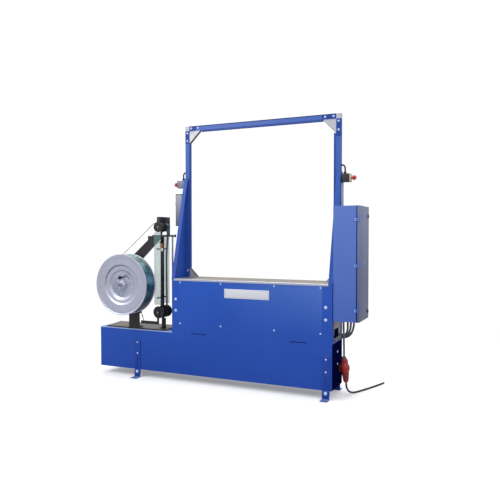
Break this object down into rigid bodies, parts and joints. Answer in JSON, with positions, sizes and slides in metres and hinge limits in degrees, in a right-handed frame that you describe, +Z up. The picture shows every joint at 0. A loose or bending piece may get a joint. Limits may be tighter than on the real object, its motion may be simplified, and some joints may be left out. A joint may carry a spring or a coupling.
{
  "type": "semi-automatic strapping machine",
  "caption": "Free-standing strapping machine: long base on feet, table with strap slot, tall rectangular strap arch, coil dispenser with magazine, side control cabinet.",
  "frame": {"origin": "on the floor, at the centre of the four foot anchor holes", "axes": "+Z up, -Y is the operator's front, +X towards the control cabinet"},
  "size_m": [2.3537, 0.8081, 2.13],
  "materials": {
    "blue_sheet": "satin powder coat",
    "blue_dark": "satin powder coat",
    "blue_legs": "satin powder coat",
    "cabinet_blue": "satin powder coat",
    "galvanised": "galvanised",
    "bolt_steel": "zinc plated",
    "plate_white": "anodised, blank",
    "table_steel": "brushed",
    "lip_steel": "brushed",
    "corner_alu": "satin",
    "guide_blue": "satin",
    "box_dark": "moulded",
    "lid_yellow": "moulded",
    "stop_red": "moulded",
    "cable_black": "matt",
    "box_grey": "satin",
    "button_dark": "moulded",
    "button_white": "moulded",
    "hinge_blue": "satin",
    "lock_black": "moulded",
    "switchgear_grey": "moulded",
    "conduit_grey": "corrugated",
    "cee_red": "moulded",
    "black_steel": "satin",
    "deck_black": "worn",
    "axle_steel": "turned",
    "spool_silver": "spun",
    "strap_green": "translucent strap",
    "clear_green": "clear sheet with a green tint",
    "roller_black": "moulded",
    "head_steel": "milled",
    "motor_grey": "painted",
    "wheel_rubber": "knurled"
  },
  "bodies": {
    "machine": {"base_frame": "blue_sheet", "lower_front_panel": "blue_sheet", "rear_panels": "blue_sheet", "base_end_cover": "blue_dark", "legs": "blue_legs", "feet": "blue_legs", "body_frame": "blue_sheet", "upper_front_panel": "blue_sheet", "side_plate_right": "galvanised", "panel_screws": "bolt_steel", "nameplate": "plate_white", "table_plates": "table_steel", "table_lip": "lip_steel", "arch_columns": "blue_sheet", "arch_beam": "blue_sheet", "arch_corner_plates": "corner_alu", "arch_strap_guides": "guide_blue", "guard_left": "blue_sheet", "guard_right": "blue_sheet", "frame_bolts": "bolt_steel", "estop_boxes": "box_dark", "estop_lids": "lid_yellow", "estop_wiring": "cable_black", "control_box": "box_grey", "cabinet_body": "cabinet_blue", "cabinet_hinges": "hinge_blue", "switchgear": "switchgear_grey", "conduits": "conduit_grey", "mains_connector": "cee_red", "mains_cable": "cable_black", "dispenser_plate": "deck_black", "dispenser_post": "black_steel", "spool_axle": "axle_steel", "magazine_post": "black_steel", "magazine_plates": "clear_green", "magazine_hood": "black_steel", "tie_bar": "black_steel", "strap_run": "strap_green", "head_frame": "head_steel", "feed_motor": "motor_grey"},
    "stop_left": {"estop_button_left": "stop_red"},
    "stop_right": {"estop_button_right": "stop_red"},
    "start": {"start_button": "button_white"},
    "selector": {"mode_selector": "button_dark"},
    "door": {"cabinet_door": "cabinet_blue"},
    "lock_upper": {"door_lock_upper": "lock_black"},
    "lock_lower": {"door_lock_lower": "lock_black"},
    "spool": {"spool_flange_front": "spool_silver", "spool_flange_rear": "spool_silver", "strap_coil": "strap_green", "spool_knob": "button_dark"},
    "upper_roller": {"top_roller": "roller_black"},
    "lower_roller": {"bottom_roller": "roller_black"},
    "lever": {"brake_lever": "black_steel"},
    "brake_link": {"brake_rod": "axle_steel"},
    "feed": {"feed_wheel": "wheel_rubber"},
    "pinch": {"pinch_wheel": "wheel_rubber"},
    "cam": {"cam_shaft": "head_steel"},
    "press": {"press_block": "head_steel"}
  },
  "joints": [
    {"name": "stop_left_push", "type": "slide", "parent": "machine", "child": "stop_left", "axis": [1, 0, 0], "range_m": [0, 0.005]},
    {"name": "stop_right_push", "type": "slide", "parent": "machine", "child": "stop_right", "axis": [-1, 0, 0], "range_m": [0, 0.005]},
    {"name": "start_push", "type": "slide", "parent": "machine", "child": "start", "axis": [1, 0, 0], "range_m": [0, 0.004]},
    {"name": "selector_turn", "type": "hinge", "parent": "machine", "child": "selector", "pos_m": [-0.547, 0.062, 1.39], "axis": [1, 0, 0], "range_deg": [-45, 45]},
    {"name": "door_swing", "type": "hinge", "parent": "machine", "child": "door", "pos_m": [1.063, -0.137, 1], "axis": [0, 0, -1], "range_deg": [0, 120]},
    {"name": "lock_upper_turn", "type": "hinge", "parent": "door", "child": "lock_upper", "pos_m": [1.069, 0.148, 1.348], "axis": [-1, 0, 0], "range_deg": [0, 90]},
    {"name": "lock_lower_turn", "type": "hinge", "parent": "door", "child": "lock_lower", "pos_m": [1.069, 0.148, 0.63], "axis": [-1, 0, 0], "range_deg": [0, 90]},
    {"name": "spool_spin", "type": "hinge", "parent": "machine", "child": "spool", "pos_m": [-0.886, -0.23, 0.795], "axis": [0, 1, 0], "continuous": true},
    {"name": "upper_roller_spin", "type": "hinge", "parent": "machine", "child": "upper_roller", "pos_m": [-0.626, -0.06, 1.274], "axis": [0, 1, 0], "continuous": true},
    {"name": "lower_roller_spin", "type": "hinge", "parent": "machine", "child": "lower_roller", "pos_m": [-0.627, -0.06, 0.56], "axis": [0, 1, 0], "continuous": true},
    {"name": "brake_lever_tilt", "type": "hinge", "parent": "machine", "child": "lever", "pos_m": [-0.627, -0.135, 0.56], "axis": [0, 1, 0], "range_deg": [-6, 0]},
    {"name": "brake_link_tilt", "type": "hinge", "parent": "lever", "child": "brake_link", "pos_m": [-0.772, -0.124, 0.472], "axis": [0, 1, 0], "range_deg": [-6, 6]},
    {"name": "feed_spin", "type": "hinge", "parent": "machine", "child": "feed", "pos_m": [0.12, 0.101, 0.67], "axis": [0, 1, 0], "continuous": true},
    {"name": "pinch_spin", "type": "hinge", "parent": "machine", "child": "pinch", "pos_m": [0.12, 0.101, 0.736], "axis": [0, 1, 0], "continuous": true},
    {"name": "cam_turn", "type": "hinge", "parent": "machine", "child": "cam", "pos_m": [0.232, 0.101, 0.7], "axis": [0, 1, 0], "range_deg": [0, 90]},
    {"name": "press_lift", "type": "slide", "parent": "machine", "child": "press", "axis": [0, 0, 1], "range_m": [0, 0.008]}
  ],
  "couplings": [
    {"joint": "lower_roller_spin", "follows": "upper_roller_spin", "ratio": 0.89474},
    {"joint": "brake_link_tilt", "follows": "brake_lever_tilt", "ratio": -1},
    {"joint": "pinch_spin", "follows": "feed_spin", "ratio": -1.6},
    {"joint": "press_lift", "follows": "cam_turn", "m_per_rad": 0.0050879}
  ]
}
